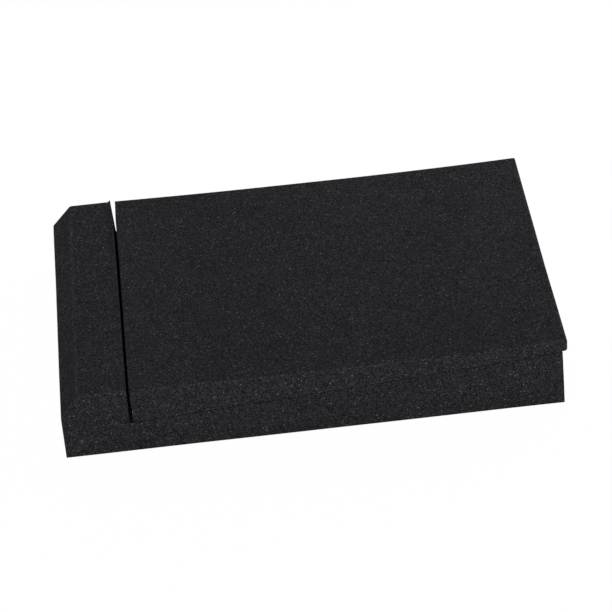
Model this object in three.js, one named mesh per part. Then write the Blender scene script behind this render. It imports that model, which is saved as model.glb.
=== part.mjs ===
import * as THREE from 'three';

// A foam isolation pad for a small studio speaker. It is two loose pieces of foam:
// a base with a sloping seat and a stop rail across one end, and a tapered wedge that lies
// on the seat. Thick end to the rail, as here, the wedge makes the top level. Turned end
// for end, it doubles the slope instead.
// Millimetres. X runs along the length, Y across the width and Z up from the desk.

// Driving sizes of the base
const padLength = 300;
const padWidth = 200;
const padHeight = 45; // desk to the top of the rail
const seatDepthAtRail = 24.6; // how far the seat lies below the top of the rail
const seatDepthAtEnd = 7.6; // and at the open end, where the wedge is thin

// The stop rail
const railTopWidth = 27.3;
const chamferRun = 11.6; // bevelled outer edge of the rail, along the length
const chamferDrop = 14.4; // and down its end face
const railLean = 2; // degrees that the rail's inner wall leans out at the top

// The wedge, which is as long and as wide as the seat
const slotGap = 2.2; // how far it lies from the foot of the rail
const seatClearance = 0.3; // the cut line left between the wedge and the seat

// Edges. Cut foam is crisp, and softens where it is handled most, at the thin end.
const cutEdge = 1; // radius of the edges that run across the width
const tipTopEdge = 1.5;
const tipUnderEdge = 2;
const sideEdge = 0.6; // softening of the long edges of both sides
const edgeSteps = 4; // facets in a rounded edge
const sideEdgeSteps = 2;

const foam = { color: 0x252527, roughness: 0.95, metalness: 0 };

// Places worked out along the length, from the rail's end of the base
const railInnerTop = chamferRun + railTopWidth;
const railFoot = railInnerTop + seatDepthAtRail * Math.tan(THREE.MathUtils.degToRad(railLean));
const seatLength = padLength - railFoot;
const seatSlope = Math.atan2(seatDepthAtRail - seatDepthAtEnd, seatLength);
const wedgeStart = railFoot + slotGap;
const wedgeEnd = wedgeStart + seatLength; // so it overhangs the open end by the slot's width

// Height of the seat's plane above the desk, at x from the rail's end.
function seatHeight(x) {
  return padHeight - seatDepthAtRail + (x - railFoot) * Math.tan(seatSlope);
}

// Points of a fillet at one corner of an outline, on the arc that touches both its edges.
function filletPoints(before, corner, after) {
  const here = new THREE.Vector2(corner.x, corner.z);
  const back = new THREE.Vector2(before.x, before.z).sub(here).normalize();
  const ahead = new THREE.Vector2(after.x, after.z).sub(here).normalize();
  const halfAngle = Math.acos(THREE.MathUtils.clamp(back.dot(ahead), -1, 1)) / 2;
  const bisector = back.clone().add(ahead).normalize();
  const centre = here.clone().addScaledVector(bisector, corner.radius / Math.sin(halfAngle));
  const reach = corner.radius / Math.tan(halfAngle);
  const first = here.clone().addScaledVector(back, reach).sub(centre);
  const last = here.clone().addScaledVector(ahead, reach).sub(centre);
  const sweep = Math.atan2(first.cross(last), first.dot(last));
  const points = [];
  for (let step = 0; step <= edgeSteps; step += 1) {
    const turned = first.clone().rotateAround(new THREE.Vector2(), (sweep * step) / edgeSteps);
    points.push(turned.add(centre));
  }
  return points;
}

// Closed outline through the corners, each with its own fillet. A radius of 0 stays sharp.
function outline(corners) {
  const points = corners.flatMap((corner, i) => {
    if (corner.radius === 0) return [new THREE.Vector2(corner.x, corner.z)];
    const before = corners.at(i - 1);
    const after = corners[(i + 1) % corners.length];
    return filletPoints(before, corner, after);
  });
  return new THREE.Shape(points);
}

// Foam cut to a side outline, right across the pad's width, with softened side edges.
function cutAcross(shape) {
  const geometry = new THREE.ExtrudeGeometry(shape, {
    depth: padWidth - 2 * sideEdge,
    bevelThickness: sideEdge,
    bevelSize: sideEdge,
    bevelOffset: -sideEdge,
    bevelSegments: sideEdgeSteps,
  });
  geometry.rotateX(Math.PI / 2);
  geometry.translate(0, padWidth / 2 - sideEdge, 0);
  return geometry;
}

function foamPiece(name, corners) {
  const mesh = new THREE.Mesh(cutAcross(outline(corners)), new THREE.MeshStandardMaterial(foam));
  mesh.name = name;
  return mesh;
}

// Base, rail and seat are one block of foam, seen here from the front side.
function makeBase() {
  return foamPiece('base', [
    { x: 0, z: 0, radius: cutEdge },
    { x: padLength, z: 0, radius: cutEdge },
    { x: padLength, z: seatHeight(padLength), radius: cutEdge },
    { x: railFoot, z: seatHeight(railFoot), radius: 0 },
    { x: railInnerTop, z: padHeight, radius: cutEdge },
    { x: chamferRun, z: padHeight, radius: cutEdge },
    { x: 0, z: padHeight - chamferDrop, radius: cutEdge },
  ]);
}

// The wedge's top is level with the rail and its underside follows the seat. The thick end
// is square to the top, and the thin end is square to the underside.
function makeWedge() {
  const underStart = seatHeight(wedgeStart) + seatClearance;
  const underEnd = seatHeight(wedgeEnd) + seatClearance;
  const thinEndLean = (padHeight - underEnd) * Math.tan(seatSlope);
  return foamPiece('wedge', [
    { x: wedgeStart, z: underStart, radius: cutEdge },
    { x: wedgeEnd, z: underEnd, radius: tipUnderEdge },
    { x: wedgeEnd - thinEndLean, z: padHeight, radius: tipTopEdge },
    { x: wedgeStart, z: padHeight, radius: cutEdge },
  ]);
}

const pad = new THREE.Group();
pad.name = 'isolation_pad';
pad.add(makeBase(), makeWedge());

// The origin is on the desk, under the middle of the whole footprint.
const footprint = new THREE.Box3().setFromObject(pad);
pad.position.x = -footprint.getCenter(new THREE.Vector3()).x;

export default pad;
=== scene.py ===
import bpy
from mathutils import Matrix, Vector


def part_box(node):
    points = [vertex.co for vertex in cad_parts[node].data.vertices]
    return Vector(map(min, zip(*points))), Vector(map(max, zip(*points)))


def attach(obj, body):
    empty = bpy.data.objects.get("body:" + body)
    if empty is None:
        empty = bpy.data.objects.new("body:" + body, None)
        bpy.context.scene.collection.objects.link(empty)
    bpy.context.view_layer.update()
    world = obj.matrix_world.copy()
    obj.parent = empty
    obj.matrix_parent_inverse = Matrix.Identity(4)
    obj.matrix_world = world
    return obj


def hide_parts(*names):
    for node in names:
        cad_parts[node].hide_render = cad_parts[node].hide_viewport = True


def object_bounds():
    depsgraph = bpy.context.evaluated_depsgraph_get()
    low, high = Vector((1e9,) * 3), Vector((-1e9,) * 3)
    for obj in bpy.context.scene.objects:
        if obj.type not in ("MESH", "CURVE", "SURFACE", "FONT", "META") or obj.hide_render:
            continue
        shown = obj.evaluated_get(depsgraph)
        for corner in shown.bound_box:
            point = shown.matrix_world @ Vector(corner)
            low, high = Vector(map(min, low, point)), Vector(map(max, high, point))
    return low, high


bl_info = {
    "name": "Foam isolation pad",
    "version": (1, 0, 0),
    "blender": (4, 5, 0),
    "location": "View3D > Sidebar > Foam pad",
    "description": "A two-piece foam pad for a small speaker, cut from charcoal foam",
    "category": "Object",
}

import math

import bmesh
import bpy
from bpy.props import FloatProperty, FloatVectorProperty, PointerProperty
from mathutils import Quaternion, Vector, noise
from mathutils.kdtree import KDTree

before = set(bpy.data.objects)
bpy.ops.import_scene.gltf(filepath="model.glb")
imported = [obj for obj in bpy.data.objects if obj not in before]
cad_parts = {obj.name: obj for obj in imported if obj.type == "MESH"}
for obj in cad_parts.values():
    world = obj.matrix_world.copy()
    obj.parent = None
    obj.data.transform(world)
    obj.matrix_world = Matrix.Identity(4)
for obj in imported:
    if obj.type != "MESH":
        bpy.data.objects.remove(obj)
cad_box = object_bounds()
base_low, base_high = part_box("base")
wedge_low, wedge_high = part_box("wedge")

MM = 0.001
TINY = 1e-6
PICTURE_SIDE = 612  # pixels
MARGIN = 1 * MM  # for picking what lies beside an edge
CORNER_REACH = 8 * MM  # how far from the slot a drawn-in corner fades out
FOOT_REACH = 5 * MM  # height over which the cut's unevenness sets in above the desk
FLOOR_GAP = 0.1 * MM  # between the pad and the floor
WAVE_SEED = 129  # fixes the slow waves of the cut, the same in both pieces


def length(label, words, default):
    """A size that a user may change, in metres."""
    return FloatProperty(
        name=label, description=words, default=default, precision=5, subtype="DISTANCE",
        unit="LENGTH",
    )


def power(label, default):
    """A lamp's power in watts."""
    return FloatProperty(name=label, description="Its power", default=default, unit="POWER")


def share(label, words, default):
    """A plain number that a user may change."""
    return FloatProperty(name=label, description=words, default=default, precision=4)


def angle(label, words, degrees):
    """An angle that a user may change, given in degrees."""
    return FloatProperty(
        name=label, description=words, default=math.radians(degrees), subtype="ANGLE",
        unit="ROTATION",
    )


def colour(label, words, default):
    """A linear colour that a user may change."""
    return FloatVectorProperty(
        name=label, description=words, default=default, size=3, min=0, max=1, subtype="COLOR"
    )


class PadShape(bpy.types.PropertyGroup):
    """Sizes that both pieces of the pad share."""

    seat_depth_at_rail: length(
        "Seat depth at the rail", "From the rail's top to the seat", 24.6 * MM
    )
    seat_depth_at_end: length("Seat depth at the end", "From the pad's top to the seat", 7.6 * MM)
    rail_foot: length(
        "Rail foot", "From the rail's end of the pad to the foot of its wall", 39.76 * MM
    )
    swell: length("Swell", "How far the foam stands proud of its nominal length", 0.15 * MM)
    swell_across: length("Swell across", "The same for its nominal width", 0.3 * MM)
    corner_length: length(
        "Corner length", "How far a drawn-in corner reaches from the back", 24 * MM
    )
    side_edge: length("Side edge", "Softness of the edges of both long sides", 0.35 * MM)
    grid: length("Grid", "Size of the faces that carry the foam's unevenness", 1.4 * MM)
    warp: length("Warp", "How far the slow waves of the cut reach", 0.3 * MM)
    warp_wave: length("Warp wave", "Length of the slow waves", 70 * MM)
    rough: length("Roughness", "How far the cut's small unevenness reaches", 0.03 * MM)
    rough_wave: length("Roughness wave", "Length of the small waves", 4 * MM)


class BaseShape(bpy.types.PropertyGroup):
    """Sizes of the base block."""

    chamfer_run: length("Bevel run", "Rail's outer bevel, along the length", 11.6 * MM)
    chamfer_drop: length("Bevel drop", "Rail's outer bevel, down the end", 14.4 * MM)
    chamfer_twist: length("Bevel twist", "How much the bevel turns across the width", 0.7 * MM)
    rail_top: length("Rail top", "Width of the rail's flat top", 28.1 * MM)
    rail_skew: length("Rail skew", "How far the rail's inner edge runs off square", 0.35 * MM)
    foot_skew: length(
        "Foot skew", "How far the foot of the rail's wall runs off square", -0.1 * MM
    )
    corner_pull: length("Corner pull", "How far the rail's back corner is drawn in", 0.8 * MM)
    rail_rise: length(
        "Rail rise", "How far the rail stands proud of its nominal height", 0.05 * MM
    )
    end_skew: length("End skew", "How far the rail's end runs off square", 0.1 * MM)
    end_lean: length("End lean", "How far the open end leans in at its top", 0.7 * MM)
    cut_edge: length("Cut edge", "Radius of the edges across the width", 0.8 * MM)
    rail_edge: length("Rail edge", "Radius of the rail's inner edge", 0.8 * MM)


class WedgeShape(bpy.types.PropertyGroup):
    """Sizes of the wedge, and how it has bent in use."""

    seam: length("Seam", "Cut line between the wedge and the seat", 0.27 * MM)
    cut_edge: length("Cut edge", "Radius of the edges at the thick end", 0.35 * MM)
    tip_edge: length("Tip edge", "Radius of the edges at the thin end", 1.4 * MM)
    tip_reach: length(
        "Tip reach, back", "How far the thin end stands proud at the back", 0.25 * MM
    )
    tip_reach_front: length("Tip reach, front", "The same at the front", 0.15 * MM)
    reach_front: length("Reach, front", "How far the thick end's top leans to the rail", 0.35 * MM)
    reach_back: length("Reach, back", "The same at the back", 0.75 * MM)
    corner_pull: length(
        "Corner pull", "How far the thick end's back corner is drawn in", 0.35 * MM
    )
    sag_front: length("Sag, front", "How far the middle of the top hangs at the front", 1.0 * MM)
    sag_back: length("Sag, back", "How far the middle of the top hangs at the back", 1.35 * MM)
    tip_lift: length(
        "Tip lift, front", "How far the front corner of the thin end curls up", 2.4 * MM
    )
    tip_lift_back: length("Tip lift, back", "How far its back corner curls up", 0.4 * MM)
    seat_lift: length("Seat lift", "How far the seat follows that curl", 0.8 * MM)
    seat_dip: length("Seat dip", "How far the front of the seat hangs", 0.45 * MM)
    seat_cant: length(
        "Seat cant", "How much higher the seat is at the back of its deep end", 1.4 * MM
    )
    curl_length: length("Curl length", "How far the curl reaches from the thin end", 55 * MM)
    curl_width: length("Curl width", "How far the curl reaches from the front", 90 * MM)


class FoamLook(bpy.types.PropertyGroup):
    """Colours and grain of the foam, and the light and shade painted into its colour."""

    charcoal: colour("Charcoal", "Foam seen from a step away", (0.0185, 0.0185, 0.0203))
    # Painted highlight: this bright colour is mixed into the base colour at the glints, where cell
    # walls would catch the light.
    painted_glint: colour("Painted glint", "Cell walls that catch the light", (0.135, 0.135, 0.141))
    cell: length("Cell", "Width of one foam cell", 1.2 * MM)
    # Painted shade and light: open pores are darker, as shade in their hollows, and the struts
    # between them lighter.
    pore_dark: share("Pore dark", "Brightness of an open pore", 0.38)
    strut_light: share("Strut light", "Brightness of the foam between the pores", 1.47)
    spread: share("Spread", "How much cells differ in brightness", 0.5)
    side_grain: share(
        "Side grain", "Contrast of the saw-cut front and back against the other faces", 1.1
    )
    # Painted glints are this much stronger on the saw-cut front and back.
    side_glint: share("Side glint", "How much stronger their glints are", 1.25)
    base_tone: share("Base tone", "Brightness of the base against the wedge", 1.02)
    # Painted highlight along the picked cut edges, where loose fibres catch the light.
    edge_light: share("Edge light", "How much worn edges are lighter", 0.22)
    edge_width: length("Edge width", "Over how wide a strip", 1.1 * MM)
    mottle: share("Mottle", "How much large areas differ", 0.04)
    relief: length("Relief", "Depth of the cells in the surface", 0.15 * MM)


class StageLook(bpy.types.PropertyGroup):
    """Floor, light and camera."""

    floor_half: length("Floor half", "Half of the floor's side", 3.0)
    floor: colour("Floor", "Colour of the floor", (0.95, 0.95, 0.95))
    floor_white: share(
        "Floor white", "Share of the floor that is plain white to the camera", 0.985
    )
    sky: share("Sky", "Level of the light from all around", 0.26)
    front_power: power("Front lamp", 10.9)
    right_power: power("Right lamp", 4.3)
    left_power: power("Left lamp", 3.3)
    top_power: power("Top lamp", 1.5)
    back_power: power("Back lamp", 15.0)
    azimuth: angle("Azimuth", "Camera's turn about the pad, 0 from the front", -2.69)
    elevation: angle("Elevation", "Camera's height angle", 36.32)
    roll: angle("Roll", "Camera's tilt in the picture", -4.70)
    distance: length("Distance", "From the camera to the point that it looks at", 1.7509)
    focal: share("Focal length", "In pixels of the picture", 2810.0)
    look_at: FloatVectorProperty(
        name="Look at", description="Point looked at, from the middle of the base on the desk",
        default=(4.34 * MM, -1.94 * MM, 20 * MM), size=3, subtype="XYZ", unit="LENGTH",
    )


def smooth(value):
    """0 below 0, 1 above 1, and an even S between."""
    value = min(max(value, 0.0), 1.0)
    return value * value * (3 - 2 * value)


def seat_height(x):
    """Height of the seat's plane above the desk."""
    shape = bpy.context.scene.pad_shape
    top = base_high.z
    start = base_low.x + shape.rail_foot
    along = (x - start) / (base_high.x - start)
    rise = shape.seat_depth_at_rail - shape.seat_depth_at_end
    return top - shape.seat_depth_at_rail + along * rise


def seat_rise(x, y):
    """How far the real seat lies above its plane."""
    wedge = bpy.context.scene.wedge_shape
    along, back = place_on_wedge(x, y)
    front_rise = wedge.seat_lift * curl(x) - wedge.seat_dip * 4 * along * (1 - along)
    return front_rise * smooth(1 - back) + wedge.seat_cant * smooth(back) * (1 - along)


def top_rise(x, y):
    """How far the wedge's real top lies above its plane."""
    wedge = bpy.context.scene.wedge_shape
    along, back = place_on_wedge(x, y)
    sag = wedge.sag_front + (wedge.sag_back - wedge.sag_front) * back
    near_front = smooth(1 - (y - base_low.y) / wedge.curl_width)
    lift = wedge.tip_lift * near_front + wedge.tip_lift_back * back
    return lift * curl(x) - sag * 4 * along * (1 - along)


def place_on_wedge(x, y):
    """Shares of the wedge's length from its thick end, and of its width from its front."""
    along = (x - wedge_low.x) / (wedge_high.x - wedge_low.x)
    back = (y - base_low.y) / (base_high.y - base_low.y)
    return min(max(along, 0.0), 1.0), back


def curl(x):
    """1 at the thin end, falling to 0 over the length that curls up."""
    return max(0.0, 1 - (wedge_high.x - x) / bpy.context.scene.wedge_shape.curl_length) ** 2


def near_corner(from_slot, y):
    """1 at the back corners beside the slot, falling to 0 away from them."""
    from_back = (base_high.y - y) / bpy.context.scene.pad_shape.corner_length
    return smooth(1 - from_slot / CORNER_REACH) * smooth(1 - from_back)


def cut_across(front, back):
    """A block of foam whose side outline, a list of (x, z), goes from front to back."""
    swell = bpy.context.scene.pad_shape.swell_across
    start, depth = base_low.y - swell, base_high.y - base_low.y + 2 * swell
    bm = bmesh.new()
    bm.faces.new([bm.verts.new((x, start, z)) for x, z in front])
    grown = bmesh.ops.extrude_face_region(bm, geom=bm.faces[:])
    far = [item for item in grown["geom"] if isinstance(item, bmesh.types.BMVert)]
    for (x, z), (far_x, far_z) in zip(front, back):
        here = Vector((x, start, z))
        vert = min(far, key=lambda v: (v.co - here).length)
        bmesh.ops.translate(bm, verts=[vert], vec=(far_x - x, depth, far_z - z))
        far.remove(vert)
    bmesh.ops.recalc_face_normals(bm, faces=bm.faces[:])
    return bm


def soften(bm, edges, radius, segments):
    """Rounds these edges of the foam."""
    bmesh.ops.bevel(
        bm, geom=edges, offset=radius, offset_type="OFFSET", affect="EDGES",
        segments=segments, profile=0.5, material=-1, clamp_overlap=True,
    )


def edges_across(bm, near):
    """Convex edges that run across the width and that a test of x and z picks."""
    found = []
    for edge in bm.edges:
        a, b = (v.co for v in edge.verts)
        if abs(a.y - b.y) > 0.5 * (base_high.y - base_low.y) and edge.is_convex:
            if near(a.x, a.z):
                found.append(edge)
    return found


def edges_of_sides(bm):
    """Edges that border the flat front and back faces, but for those on the desk."""
    found = []
    places = [v.co.y for v in bm.verts]
    for side in (min(places), max(places)):
        for edge in bm.edges:
            on_side = all(abs(v.co.y - side) < TINY for v in edge.verts)
            if on_side and any(v.co.z > TINY for v in edge.verts):
                found.append(edge)
    return found


def cut_grid(bm, pitch):
    """Cuts every face into a grid, so that it can carry the foam's unevenness."""
    for axis in range(3):
        places = [v.co[axis] for v in bm.verts]
        low, high = min(places), max(places)
        count = max(1, round((high - low) / pitch))
        normal = [0, 0, 0]
        normal[axis] = 1
        for step in range(1, count):
            at = [0, 0, 0]
            at[axis] = low + (high - low) * step / count
            geom = bm.verts[:] + bm.edges[:] + bm.faces[:]
            bmesh.ops.bisect_plane(bm, geom=geom, dist=1e-6, plane_co=at, plane_no=normal)


def mark_surface(bm, highlit):
    """Stores how far each vertex lies from the nearest edge that a test of a place picks for the
    painted edge highlight, and whether it lies on the saw-cut front or back."""
    turn = math.radians(5)
    places = []
    for edge in bm.edges:
        if edge.is_manifold and edge.is_convex and edge.calc_face_angle(0) > turn:
            places += [v.co for v in edge.verts if highlit(v.co)]
    tree = KDTree(len(places))
    for number, place in enumerate(places):
        tree.insert(place, number)
    tree.balance()
    bm.verts.layers.float.new("edge_distance")
    bm.verts.layers.float.new("side_cut")
    distance, side_cut = (bm.verts.layers.float[name] for name in ("edge_distance", "side_cut"))
    side = max(vert.co.y for vert in bm.verts)
    for vert in bm.verts:
        vert[distance] = tree.find(vert.co)[2]
        vert[side_cut] = float(side - abs(vert.co.y) < TINY)


def roughen(bm):
    """Moves the surface as a cut through soft foam wanders, slowly and in small."""
    shape = bpy.context.scene.pad_shape
    bm.normal_update()
    noise.seed_set(WAVE_SEED)
    for vert in bm.verts:
        slow = noise.noise_vector(vert.co / shape.warp_wave) * shape.warp
        small = noise.noise(vert.co / shape.rough_wave) * shape.rough
        move = slow + vert.normal * small
        move.z *= smooth(vert.co.z / FOOT_REACH)
        vert.co += move


def finish_piece(bm, name, cad_node, material):
    """Makes the mesh a piece that stands for its CAD node."""
    mesh = bpy.data.meshes.new(name)
    bmesh.ops.recalc_face_normals(bm, faces=bm.faces[:])
    bm.to_mesh(mesh)
    bm.free()
    mesh.shade_smooth()
    mesh.materials.append(material)
    piece = bpy.data.objects.new(name, mesh)
    bpy.context.scene.collection.objects.link(piece)
    weighted = piece.modifiers.new("Flat faces stay flat", "WEIGHTED_NORMAL")
    weighted.mode = "FACE_AREA"
    weighted.weight = 100
    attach(piece, "root")
    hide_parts(cad_node)
    return piece


def node(tree, kind, inputs=None, **settings):
    """Adds a shader node. An input takes a value, or an output to be linked to it."""
    made = tree.nodes.new(kind)
    for key, value in settings.items():
        setattr(made, key, value)
    for key, value in (inputs or {}).items():
        if isinstance(value, bpy.types.NodeSocket):
            tree.links.new(value, made.inputs[key])
        else:
            made.inputs[key].default_value = value
    return made


def maths(tree, operation, first, second=0.0, third=0.0):
    """The output of one Math node."""
    inputs = {0: first, 1: second, 2: third}
    return node(tree, "ShaderNodeMath", inputs, operation=operation).outputs[0]


def ramp(tree, value, low, high, to_low, to_high):
    """value from low to high becomes to_low to to_high, with soft ends."""
    inputs = {
        "Value": value, "From Min": low, "From Max": high, "To Min": to_low, "To Max": to_high,
    }
    made = node(tree, "ShaderNodeMapRange", inputs, interpolation_type="SMOOTHSTEP")
    return made.outputs["Result"]


def new_group(name, inputs, outputs):
    """A shader node group with named number and vector sockets, and its two end nodes."""
    group = bpy.data.node_groups.new(name, "ShaderNodeTree")
    for label, kind in inputs:
        group.interface.new_socket(label, in_out="INPUT", socket_type=kind)
    for label, kind in outputs:
        group.interface.new_socket(label, in_out="OUTPUT", socket_type=kind)
    return group, group.nodes.new("NodeGroupInput"), group.nodes.new("NodeGroupOutput")


def foam_cells():
    """Node group: open foam cells, as a tone around 1, sparse painted glints and a height."""
    number, vector = "NodeSocketFloat", "NodeSocketVector"
    group, given, result = new_group(
        "Foam cells",
        [("Vector", vector), ("Cells per metre", number), ("Pore", number), ("Strut", number),
         ("Spread", number)],
        [("Tone", number), ("Painted glint", number), ("Height", number)],
    )
    scaled = node(
        group, "ShaderNodeVectorMath",
        {0: given.outputs["Vector"], "Scale": given.outputs["Cells per metre"]}, operation="SCALE",
    ).outputs[0]
    wobble = node(group, "ShaderNodeTexNoise", {"Vector": scaled, "Scale": 0.8, "Detail": 1.0})
    centred = node(
        group, "ShaderNodeVectorMath",
        {0: wobble.outputs["Color"], 1: (0.4, 0.4, 0.4), 2: scaled}, operation="MULTIPLY_ADD",
    ).outputs[0]
    walls = node(
        group, "ShaderNodeTexVoronoi", {"Vector": centred, "Scale": 1.0},
        feature="DISTANCE_TO_EDGE",
    )
    cells = node(group, "ShaderNodeTexVoronoi", {"Vector": centred, "Scale": 1.0}, feature="F1")
    own_place = node(
        group, "ShaderNodeVectorMath", {0: cells.outputs["Position"], 1: (0.01, 0.01, 0.01)},
        operation="SNAP",
    ).outputs[0]
    dice = node(group, "ShaderNodeTexWhiteNoise", {"Vector": own_place}, noise_dimensions="3D")
    chance = node(group, "ShaderNodeSeparateColor", {"Color": dice.outputs["Color"]})
    grit = node(group, "ShaderNodeTexNoise", {"Vector": scaled, "Scale": 2.6, "Detail": 2.0})
    # Painted shade in the hollow pores and painted light on the struts: the tone runs from Pore to
    # Strut.
    strut = ramp(group, walls.outputs["Distance"], 0.02, 0.22, 1.0, 0.0)
    open_tone = maths(group, "SUBTRACT", given.outputs["Strut"], given.outputs["Pore"])
    open_tone = maths(group, "MULTIPLY_ADD", strut, open_tone, given.outputs["Pore"])
    cell_tone = maths(group, "SUBTRACT", chance.outputs[0], 0.5)
    cell_tone = maths(group, "MULTIPLY_ADD", cell_tone, given.outputs["Spread"], 1.0)
    tone = maths(group, "MULTIPLY", open_tone, cell_tone)
    # Painted highlight: a few cells get a small bright spot at their middle.
    few = ramp(group, chance.outputs[1], 0.84, 1.0, 0.0, 1.0)
    spot = ramp(group, cells.outputs["Distance"], 0.1, 0.4, 1.0, 0.0)
    painted_glint = maths(group, "MULTIPLY", few, spot)
    raised = maths(group, "MULTIPLY", strut, 0.5)
    deep = maths(group, "MULTIPLY_ADD", chance.outputs[2], 0.35, raised)
    height = maths(group, "MULTIPLY_ADD", grit.outputs["Fac"], 0.3, deep)
    group.links.new(tone, result.inputs["Tone"])
    group.links.new(painted_glint, result.inputs["Painted glint"])
    group.links.new(height, result.inputs["Height"])
    return group


def foam_material(name, cells, offset, level):
    """Charcoal foam of a brightness of level. offset slides the pattern, so that two pieces don't
    share their cells."""
    look = bpy.context.scene.foam_look
    material = bpy.data.materials.new(name)
    material.use_nodes = True
    tree = material.node_tree
    shader = tree.nodes["Principled BSDF"]
    place = node(tree, "ShaderNodeTexCoord").outputs["Object"]
    place = node(tree, "ShaderNodeMapping", {"Vector": place, "Location": offset}).outputs[0]
    grain = node(tree, "ShaderNodeGroup", node_tree=cells)
    tree.links.new(place, grain.inputs["Vector"])
    grain.inputs["Cells per metre"].default_value = 1 / look.cell
    grain.inputs["Pore"].default_value = look.pore_dark
    grain.inputs["Strut"].default_value = look.strut_light
    grain.inputs["Spread"].default_value = look.spread
    cloud = node(tree, "ShaderNodeTexNoise", {"Vector": place, "Scale": 60.0, "Detail": 3.0})
    patch = ramp(tree, cloud.outputs["Fac"], 0.3, 0.7, 1 - look.mottle, 1 + look.mottle)
    # Painted highlight: the colour is lighter within edge_width of the picked cut edges.
    away = node(tree, "ShaderNodeAttribute", attribute_name="edge_distance").outputs["Fac"]
    edge_highlight = ramp(tree, away, 0.0, look.edge_width, 1 + look.edge_light, 1.0)
    side_cut = node(tree, "ShaderNodeAttribute", attribute_name="side_cut").outputs["Fac"]
    contrast = ramp(tree, side_cut, 0.0, 1.0, 1.0, look.side_grain)
    painted_glint_gain = ramp(tree, side_cut, 0.0, 1.0, 1.0, look.side_glint)
    painted_glint = maths(tree, "MULTIPLY", grain.outputs["Painted glint"], painted_glint_gain)
    cell_tone = maths(tree, "SUBTRACT", grain.outputs["Tone"], 1.0)
    cell_tone = maths(tree, "MULTIPLY_ADD", cell_tone, contrast, 1.0)
    large_tone = maths(tree, "MULTIPLY", maths(tree, "MULTIPLY", patch, edge_highlight), level)
    tone = maths(tree, "MULTIPLY", cell_tone, large_tone)
    body = node(
        tree, "ShaderNodeVectorMath", {0: tuple(look.charcoal), "Scale": tone}, operation="SCALE"
    ).outputs[0]
    # The painted glints go into the base colour here, a painted highlight in place of a
    # reflection.
    colour_mix = node(
        tree, "ShaderNodeMix", {"Factor": painted_glint, 7: (*look.painted_glint, 1.0)},
        data_type="RGBA",
    )
    tree.links.new(body, colour_mix.inputs[6])
    tree.links.new(colour_mix.outputs[2], shader.inputs["Base Color"])
    rough = ramp(tree, painted_glint, 0.0, 1.0, 0.95, 0.6)
    tree.links.new(rough, shader.inputs["Roughness"])
    bump = node(
        tree, "ShaderNodeBump",
        {"Strength": 0.6, "Distance": look.relief, "Height": grain.outputs["Height"]},
    )
    tree.links.new(bump.outputs["Normal"], shader.inputs["Normal"])
    shader.inputs["Specular IOR Level"].default_value = 0.0
    return material


def shared_cells():
    """The foam's node group, built once."""
    return bpy.data.node_groups.get("Foam cells") or foam_cells()


class FOAMPAD_OT_base(bpy.types.Operator):
    """Cuts the base block: sloping seat, stop rail and bevelled end"""

    bl_idname = "foam_pad.base"
    bl_label = "Base block"

    def outline(self, side):
        """Corners of the side outline, where side goes from -1 at the front to 1 at the back."""
        shape, base = bpy.context.scene.pad_shape, bpy.context.scene.base_shape
        left, right, top = base_low.x, base_high.x, base_high.z + base.rail_rise
        end = left - shape.swell + side * base.end_skew
        foot = left + shape.rail_foot - side * base.foot_skew
        inner = left + base.chamfer_run + base.rail_top - side * base.rail_skew
        twist = side * base.chamfer_twist
        return [
            (end, 0),
            (right + shape.swell, 0),
            (right + shape.swell - base.end_lean, seat_height(right)),
            (foot, seat_height(foot)),
            (inner, top),
            (left + base.chamfer_run + twist, top),
            (end, top - base.chamfer_drop + twist),
        ]

    def bend(self, bm):
        """Lets the seat dip and rise as it does, draws the rail's back corner in, and keeps the
        underside flat."""
        base = bpy.context.scene.base_shape
        foot = base_low.x + bpy.context.scene.pad_shape.rail_foot
        for vert in bm.verts:
            x, y, z = vert.co
            if x > foot - MARGIN:
                vert.co.z += seat_rise(x, y) * min(z / seat_height(x), 1)
            if x < foot + MARGIN:
                up = (z - seat_height(foot)) / (base_high.z - seat_height(foot))
                vert.co.x -= base.corner_pull * near_corner(foot - x, y) * max(up, 0)

    def is_highlit(self, at):
        """Whether an edge gets the painted highlight: the bevel's, and those at both ends of the
        rail.
        """
        shape, base = bpy.context.scene.pad_shape, bpy.context.scene.base_shape
        if at.z < base_high.z / 2:
            return False
        if abs(at.y) > base_high.y - MARGIN:
            return at.x < base_low.x + shape.rail_foot - 2 * MARGIN
        return at.x < base_low.x + base.chamfer_run + 3 * MARGIN

    def execute(self, context):
        shape, base = context.scene.pad_shape, context.scene.base_shape
        bm = cut_across(self.outline(-1), self.outline(1))
        rail_middle = base_low.x + base.chamfer_run + base.rail_top / 2
        inner = edges_across(bm, lambda x, z: z > TINY and rail_middle < x < 0)
        soften(bm, inner, base.rail_edge, 4)
        others = edges_across(bm, lambda x, z: z > TINY and not rail_middle < x < 0)
        soften(bm, others, base.cut_edge, 3)
        soften(bm, edges_of_sides(bm), shape.side_edge, 2)
        cut_grid(bm, shape.grid)
        mark_surface(bm, self.is_highlit)
        self.bend(bm)
        roughen(bm)
        base_tone = context.scene.foam_look.base_tone
        material = foam_material("Foam of the base", shared_cells(), (0, 0, 0), base_tone)
        finish_piece(bm, "base_block", "base", material)
        return {"FINISHED"}


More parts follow.
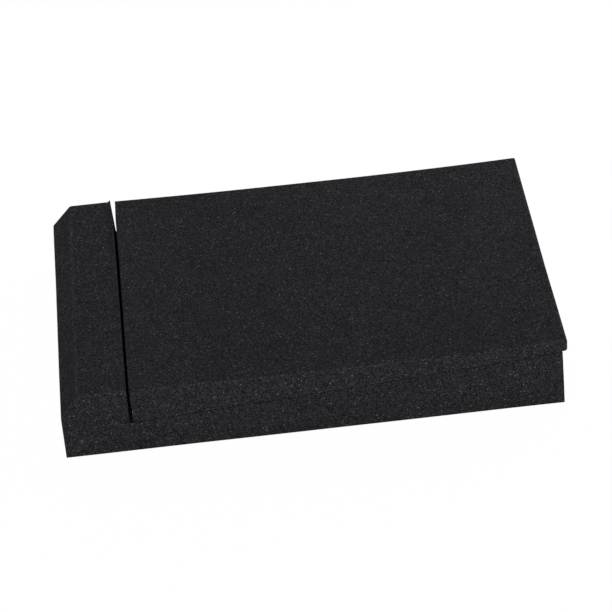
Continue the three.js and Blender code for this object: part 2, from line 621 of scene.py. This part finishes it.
class FOAMPAD_OT_wedge(bpy.types.Operator):
    """Cuts the loose wedge that lies on the seat"""

    bl_idname = "foam_pad.wedge"
    bl_label = "Wedge"

    def outline(self, side):
        """Corners of the side outline, where side goes from -1 at the front to 1 at the back."""
        wedge = bpy.context.scene.wedge_shape
        back = (1 + side) / 2
        tip_reach = wedge.tip_reach_front + (wedge.tip_reach - wedge.tip_reach_front) * back
        left, right, top = wedge_low.x, wedge_high.x + tip_reach, wedge_high.z
        reach = wedge.reach_front + (wedge.reach_back - wedge.reach_front) * back
        return [
            (left - 1.1 * wedge.reach_back * back, seat_height(left) + wedge.seam),
            (right, seat_height(right) + wedge.seam),
            (right, top),
            (left - reach, top),
        ]

    def bend(self, bm):
        """Sags the top, curls the front corner of the thin end and draws the back corner of the
        thick end in."""
        wedge, top = bpy.context.scene.wedge_shape, wedge_high.z
        for vert in bm.verts:
            x, y, z = vert.co
            seat = seat_height(x)
            up = min(max((z - seat) / (top - seat), 0), 1)
            vert.co.z += (1 - up) * seat_rise(x, y) + up * top_rise(x, y)
            vert.co.x += wedge.corner_pull * near_corner(x - wedge_low.x, y)

    def execute(self, context):
        shape, wedge = context.scene.pad_shape, context.scene.wedge_shape
        bm = cut_across(self.outline(-1), self.outline(1))
        middle = (wedge_low.x + wedge_high.x) / 2
        soften(bm, edges_across(bm, lambda x, z: x > middle), wedge.tip_edge, 4)
        soften(bm, edges_across(bm, lambda x, z: x < middle), wedge.cut_edge, 3)
        soften(bm, edges_of_sides(bm), shape.side_edge, 2)
        cut_grid(bm, shape.grid)
        top, start = wedge_high.z - 2 * MARGIN, wedge_low.x + MARGIN
        # The wedge's top edges, past its thick end, get the painted edge highlight.
        mark_surface(bm, lambda at: at.z > top and at.x > start)
        self.bend(bm)
        roughen(bm)
        offset = (31.3 * MM, 17.1 * MM, 22.2 * MM)
        material = foam_material("Foam of the wedge", shared_cells(), offset, 1.0)
        finish_piece(bm, "wedge_slab", "wedge", material)
        return {"FINISHED"}


class FOAMPAD_OT_stage(bpy.types.Operator):
    """Adds the floor, the light and the camera"""

    bl_idname = "foam_pad.stage"
    bl_label = "Stage"

    def seen_directly(self, tree):
        """1 for rays that show the background itself, and 0 for those that carry its light."""
        path = node(tree, "ShaderNodeLightPath")
        seen = maths(tree, "MAXIMUM", path.outputs["Is Camera Ray"], path.outputs["Is Glossy Ray"])
        return maths(tree, "MAXIMUM", seen, path.outputs["Is Transmission Ray"])

    def add_floor(self, look):
        bm = bmesh.new()
        bmesh.ops.create_grid(bm, x_segments=1, y_segments=1, size=look.floor_half)
        bmesh.ops.translate(bm, verts=bm.verts[:], vec=(0, 0, base_low.z - FLOOR_GAP))
        mesh = bpy.data.meshes.new("floor")
        bm.to_mesh(mesh)
        bm.free()
        material = bpy.data.materials.new("White floor")
        material.use_nodes = True
        tree = material.node_tree
        shader = tree.nodes["Principled BSDF"]
        shader.inputs["Base Color"].default_value = (*look.floor, 1)
        shader.inputs["Roughness"].default_value = 1.0
        shader.inputs["Specular IOR Level"].default_value = 0.0
        white = node(tree, "ShaderNodeEmission", {"Color": (1, 1, 1, 1), "Strength": 1.0})
        factor = maths(tree, "MULTIPLY", self.seen_directly(tree), look.floor_white)
        mixed = node(
            tree, "ShaderNodeMixShader",
            {0: factor, 1: shader.outputs["BSDF"], 2: white.outputs["Emission"]},
        )
        output = tree.nodes["Material Output"]
        tree.links.new(mixed.outputs[0], output.inputs["Surface"])
        mesh.materials.append(material)
        floor = bpy.data.objects.new("floor", mesh)
        bpy.context.scene.collection.objects.link(floor)

    def add_sky(self, look):
        world = bpy.data.worlds.new("Soft white room")
        bpy.context.scene.world = world
        world.use_nodes = True
        tree = world.node_tree
        sky = tree.nodes["Background"]
        sky.inputs["Color"].default_value = (1, 1, 1, 1)
        level = ramp(tree, self.seen_directly(tree), 0, 1, look.sky, 1.0)
        tree.links.new(level, sky.inputs["Strength"])

    def add_lamp(self, name, power, place, side):
        """A square lamp that looks at the middle of the pad."""
        data = bpy.data.lights.new(name, "AREA")
        data.shape = "SQUARE"
        data.size = side
        data.energy = power
        lamp = bpy.data.objects.new(name, data)
        lamp.location = place
        middle = (cad_box[0] + cad_box[1]) / 2
        lamp.rotation_euler = (Vector(place) - middle).to_track_quat("Z", "Y").to_euler()
        lamp.visible_camera = False
        bpy.context.scene.collection.objects.link(lamp)

    def add_camera(self, look):
        data = bpy.data.cameras.new("camera")
        data.sensor_width = 36.0
        data.lens = look.focal / PICTURE_SIDE * data.sensor_width
        data.clip_end = 50
        camera = bpy.data.objects.new("camera", data)
        flat = math.cos(look.elevation)
        back = Vector((math.sin(look.azimuth) * flat, -math.cos(look.azimuth) * flat,
                       math.sin(look.elevation)))
        middle = Vector(((base_low.x + base_high.x) / 2, 0, 0))
        camera.location = middle + Vector(look.look_at) + back * look.distance
        turn = back.to_track_quat("Z", "Y") @ Quaternion((0, 0, 1), look.roll)
        camera.rotation_euler = turn.to_euler()
        bpy.context.scene.collection.objects.link(camera)
        bpy.context.scene.camera = camera

    def execute(self, context):
        look = context.scene.stage_look
        self.add_floor(look)
        self.add_sky(look)
        self.add_lamp("front lamp", look.front_power, (0, -1.3, 0.26), 0.5)
        self.add_lamp("right lamp", look.right_power, (0.6, 0.3, 0.35), 0.49)
        self.add_lamp("left lamp", look.left_power, (-0.8, 0.2, 0.45), 0.5)
        self.add_lamp("top lamp", look.top_power, (-0.08, -0.05, 1.2), 0.3)
        self.add_lamp("back lamp", look.back_power, (0, 1.3, 0.3), 1.1)
        self.add_camera(look)
        context.scene.view_settings.view_transform = "Standard"
        return {"FINISHED"}


class FOAMPAD_PT_panel(bpy.types.Panel):
    """Lists the pad's pieces and the stage"""

    bl_label = "Foam pad"
    bl_space_type = "VIEW_3D"
    bl_region_type = "UI"
    bl_category = "Foam pad"

    def draw(self, context):
        for operator in OPERATORS:
            self.layout.operator(operator.bl_idname)
        for group, name in GROUPS:
            box = self.layout.box()
            box.label(text=group.__doc__)
            for key in group.__annotations__:
                box.prop(getattr(context.scene, name), key)


GROUPS = (
    (PadShape, "pad_shape"),
    (BaseShape, "base_shape"),
    (WedgeShape, "wedge_shape"),
    (FoamLook, "foam_look"),
    (StageLook, "stage_look"),
)
OPERATORS = (FOAMPAD_OT_base, FOAMPAD_OT_wedge, FOAMPAD_OT_stage)


def register():
    for group, name in GROUPS:
        bpy.utils.register_class(group)
        setattr(bpy.types.Scene, name, PointerProperty(type=group))
    for operator in OPERATORS:
        bpy.utils.register_class(operator)
    bpy.utils.register_class(FOAMPAD_PT_panel)


def unregister():
    bpy.utils.unregister_class(FOAMPAD_PT_panel)
    for operator in reversed(OPERATORS):
        bpy.utils.unregister_class(operator)
    for group, name in reversed(GROUPS):
        delattr(bpy.types.Scene, name)
        bpy.utils.unregister_class(group)


def main():
    register()
    bpy.ops.foam_pad.base()
    bpy.ops.foam_pad.wedge()
    bpy.ops.foam_pad.stage()


if __name__ == "__main__":
    main()
